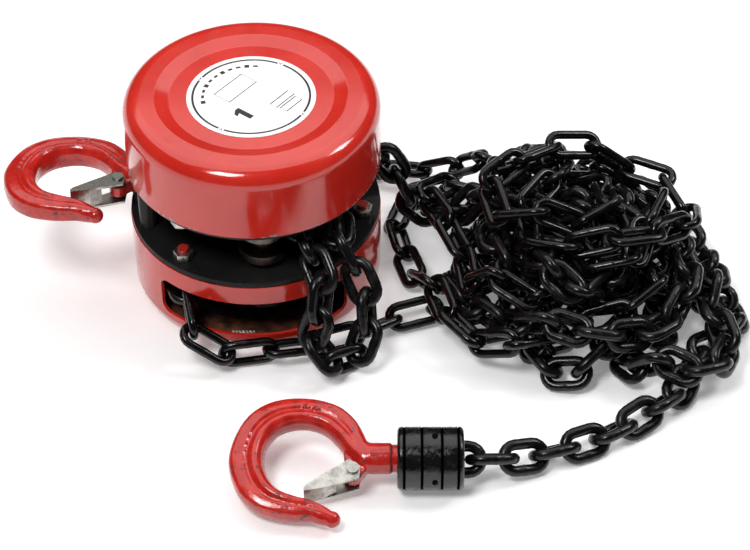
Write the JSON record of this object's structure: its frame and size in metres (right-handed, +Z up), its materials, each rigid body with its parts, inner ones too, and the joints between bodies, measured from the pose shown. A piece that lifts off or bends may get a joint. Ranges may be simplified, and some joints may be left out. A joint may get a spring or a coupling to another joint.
{
  "type": "hand chain hoist",
  "caption": "Compact round hand chain hoist with latched top and bottom hooks, its load chain and hand chain lying in a heap beside it.",
  "frame": {"origin": "centre of the flat pressed foot of the hand wheel cover, which the hoist lies on, on the drive shaft's axis", "axes": "+Z up along the drive shaft, from the hand wheel side to the gear side; -X towards the top hook; the load chain leaves towards +X"},
  "size_m": [0.4214, 0.3082, 0.1281],
  "materials": {
    "red_paint": "gloss red enamel",
    "label_white": "printed plastic film",
    "black_steel": "gloss black enamel",
    "zinc_steel": "zinc plated",
    "painted_studs": "red overspray on steel",
    "dark_steel": "oiled steel",
    "cast_wheel": "rough casting with rust",
    "gear_steel": "cut and greased",
    "bronze": "plain bronze",
    "lining": "moulded friction lining",
    "red_forging": "red enamel over rough forging",
    "chain_black": "semi-gloss black, heat-treated",
    "hand_chain_black": "gloss black"
  },
  "bodies": {
    "root": {"gear_cover": "red_paint", "rating_label": "label_white", "hand_wheel_cover": "red_paint", "gear_side_plate": "black_steel", "hand_side_plate": "black_steel", "cover_studs": "painted_studs", "cover_nuts": "zinc_steel", "stay_bolts": "dark_steel", "stay_nuts": "zinc_steel", "bearing_races": "gear_steel", "bearing_balls": "gear_steel", "gear_plate": "dark_steel", "gear_pillars": "dark_steel", "gear_plate_nuts": "zinc_steel", "shaft_bushes": "bronze", "roller_pins": "dark_steel", "chain_stripper": "black_steel", "anchor_pin": "dark_steel", "top_hook_pins": "dark_steel", "pawl_pins": "dark_steel", "pawl_springs": "dark_steel", "load_chain": "chain_black", "hand_chain": "hand_chain_black"},
    "drive": {"drive_shaft": "gear_steel", "brake_hub": "gear_steel", "friction_discs": "lining", "hand_wheel": "cast_wheel", "castle_nut": "zinc_steel", "split_pin": "zinc_steel"},
    "sheave": {"load_sheave": "cast_wheel", "load_gear": "gear_steel", "load_gear_ring": "dark_steel"},
    "disc_gear_a": {"disc_gear_1": "gear_steel"},
    "disc_gear_b": {"disc_gear_2": "gear_steel"},
    "ratchet": {"ratchet_disc": "dark_steel"},
    "pawl_a": {"pawl_1": "dark_steel"},
    "pawl_b": {"pawl_2": "dark_steel"},
    "roller_front": {"guide_roller_front": "cast_wheel"},
    "roller_back": {"guide_roller_back": "cast_wheel"},
    "yoke": {"top_hook_yoke": "dark_steel"},
    "hook_up": {"top_hook": "red_forging", "top_hook_nut": "dark_steel", "top_latch_rivet": "zinc_steel", "top_latch_spring": "dark_steel"},
    "latch_up": {"top_hook_latch": "zinc_steel"},
    "coupling": {"coupling_half_a": "black_steel", "coupling_half_b": "black_steel", "coupling_screws": "zinc_steel", "chain_pin": "dark_steel", "thrust_washer": "dark_steel"},
    "hook_low": {"bottom_hook": "red_forging", "bottom_hook_nut": "dark_steel", "bottom_latch_rivet": "zinc_steel", "bottom_latch_spring": "dark_steel"},
    "latch_low": {"bottom_hook_latch": "zinc_steel"},
    "link_1": {"load_link_1": "chain_black"},
    "link_2": {"load_link_2": "chain_black"},
    "link_3": {"load_link_3": "chain_black"},
    "link_4": {"load_link_4": "chain_black"},
    "link_5": {"load_link_5": "chain_black"}
  },
  "joints": [
    {"name": "hand_wheel_turn", "type": "hinge", "parent": "root", "child": "drive", "pos_m": [0, 0, 0.024], "axis": [0, 0, 1], "continuous": true},
    {"name": "sheave_turn", "type": "hinge", "parent": "root", "child": "sheave", "pos_m": [0, 0, 0.0663], "axis": [0, 0, 1], "continuous": true},
    {"name": "disc_gear_a_turn", "type": "hinge", "parent": "root", "child": "disc_gear_a", "pos_m": [0, 0.0312, 0.0998], "axis": [0, 0, 1], "continuous": true},
    {"name": "disc_gear_b_turn", "type": "hinge", "parent": "root", "child": "disc_gear_b", "pos_m": [0, -0.0312, 0.0998], "axis": [0, 0, 1], "continuous": true},
    {"name": "ratchet_play", "type": "hinge", "parent": "root", "child": "ratchet", "pos_m": [0, 0, 0.036], "axis": [0, 0, 1], "range_deg": [-3, 3]},
    {"name": "pawl_a_lift", "type": "hinge", "parent": "root", "child": "pawl_a", "pos_m": [0.04511, 0.01642, 0.036], "axis": [0, 0, 1], "range_deg": [0, 14]},
    {"name": "pawl_b_lift", "type": "hinge", "parent": "root", "child": "pawl_b", "pos_m": [-0.04511, -0.01642, 0.036], "axis": [0, 0, 1], "range_deg": [0, 14]},
    {"name": "roller_front_turn", "type": "hinge", "parent": "root", "child": "roller_front", "pos_m": [0.006, -0.0466, 0.0663], "axis": [0, 0, 1], "continuous": true},
    {"name": "roller_back_turn", "type": "hinge", "parent": "root", "child": "roller_back", "pos_m": [0.006, 0.0466, 0.0663], "axis": [0, 0, 1], "continuous": true},
    {"name": "top_hook_swing", "type": "hinge", "parent": "root", "child": "yoke", "pos_m": [-0.057, 0, 0.0663], "axis": [0, 0, 1], "range_deg": [-15, 15]},
    {"name": "top_hook_swivel", "type": "hinge", "parent": "yoke", "child": "hook_up", "pos_m": [-0.057, 0.001, 0.0663], "axis": [1, 0, 0], "continuous": true},
    {"name": "top_latch_open", "type": "hinge", "parent": "hook_up", "child": "latch_up", "pos_m": [-0.0762, -0.00846, 0.06713], "axis": [0, -0.0872, -0.9962], "range_deg": [0, 40]},
    {"name": "load_link_5_turn", "type": "hinge", "parent": "root", "child": "link_5", "pos_m": [0.18573, -0.14731, 0.00838], "axis": [-0.4529, 0.6303, -0.6306], "range_deg": [0, 20]},
    {"name": "load_link_4_turn", "type": "hinge", "parent": "link_5", "child": "link_4", "pos_m": [0.16904, -0.15414, 0.00833], "axis": [-0.2698, 0.6537, 0.707], "range_deg": [0, 20]},
    {"name": "load_link_3_turn", "type": "hinge", "parent": "link_4", "child": "link_3", "pos_m": [0.15209, -0.15999, 0.00976], "axis": [-0.2837, 0.6491, -0.7059], "range_deg": [0, 20]},
    {"name": "load_link_2_turn", "type": "hinge", "parent": "link_3", "child": "link_2", "pos_m": [0.13539, -0.16574, 0.01319], "axis": [-0.103, 0.7128, 0.6938], "range_deg": [0, 20]},
    {"name": "load_link_1_turn", "type": "hinge", "parent": "link_2", "child": "link_1", "pos_m": [0.11801, -0.16898, 0.01664], "axis": [-0.2627, 0.6682, -0.6961], "range_deg": [0, 20]},
    {"name": "coupling_turn", "type": "hinge", "parent": "link_1", "child": "coupling", "pos_m": [0.106, -0.1685, 0.017], "axis": [0, 0.7071, -0.7071], "range_deg": [0, 15]},
    {"name": "bottom_hook_swivel", "type": "hinge", "parent": "coupling", "child": "hook_low", "pos_m": [0.088, -0.1685, 0.017], "axis": [1, 0, 0], "continuous": true},
    {"name": "bottom_latch_open", "type": "hinge", "parent": "hook_low", "child": "latch_low", "pos_m": [0.0561, -0.17772, 0.0147], "axis": [0, 0.2419, -0.9703], "range_deg": [0, 40]}
  ],
  "couplings": [
    {"joint": "disc_gear_a_turn", "follows": "hand_wheel_turn", "ratio": -0.26316},
    {"joint": "disc_gear_b_turn", "follows": "hand_wheel_turn", "ratio": -0.26316},
    {"joint": "sheave_turn", "follows": "hand_wheel_turn", "ratio": 0.087719}
  ]
}
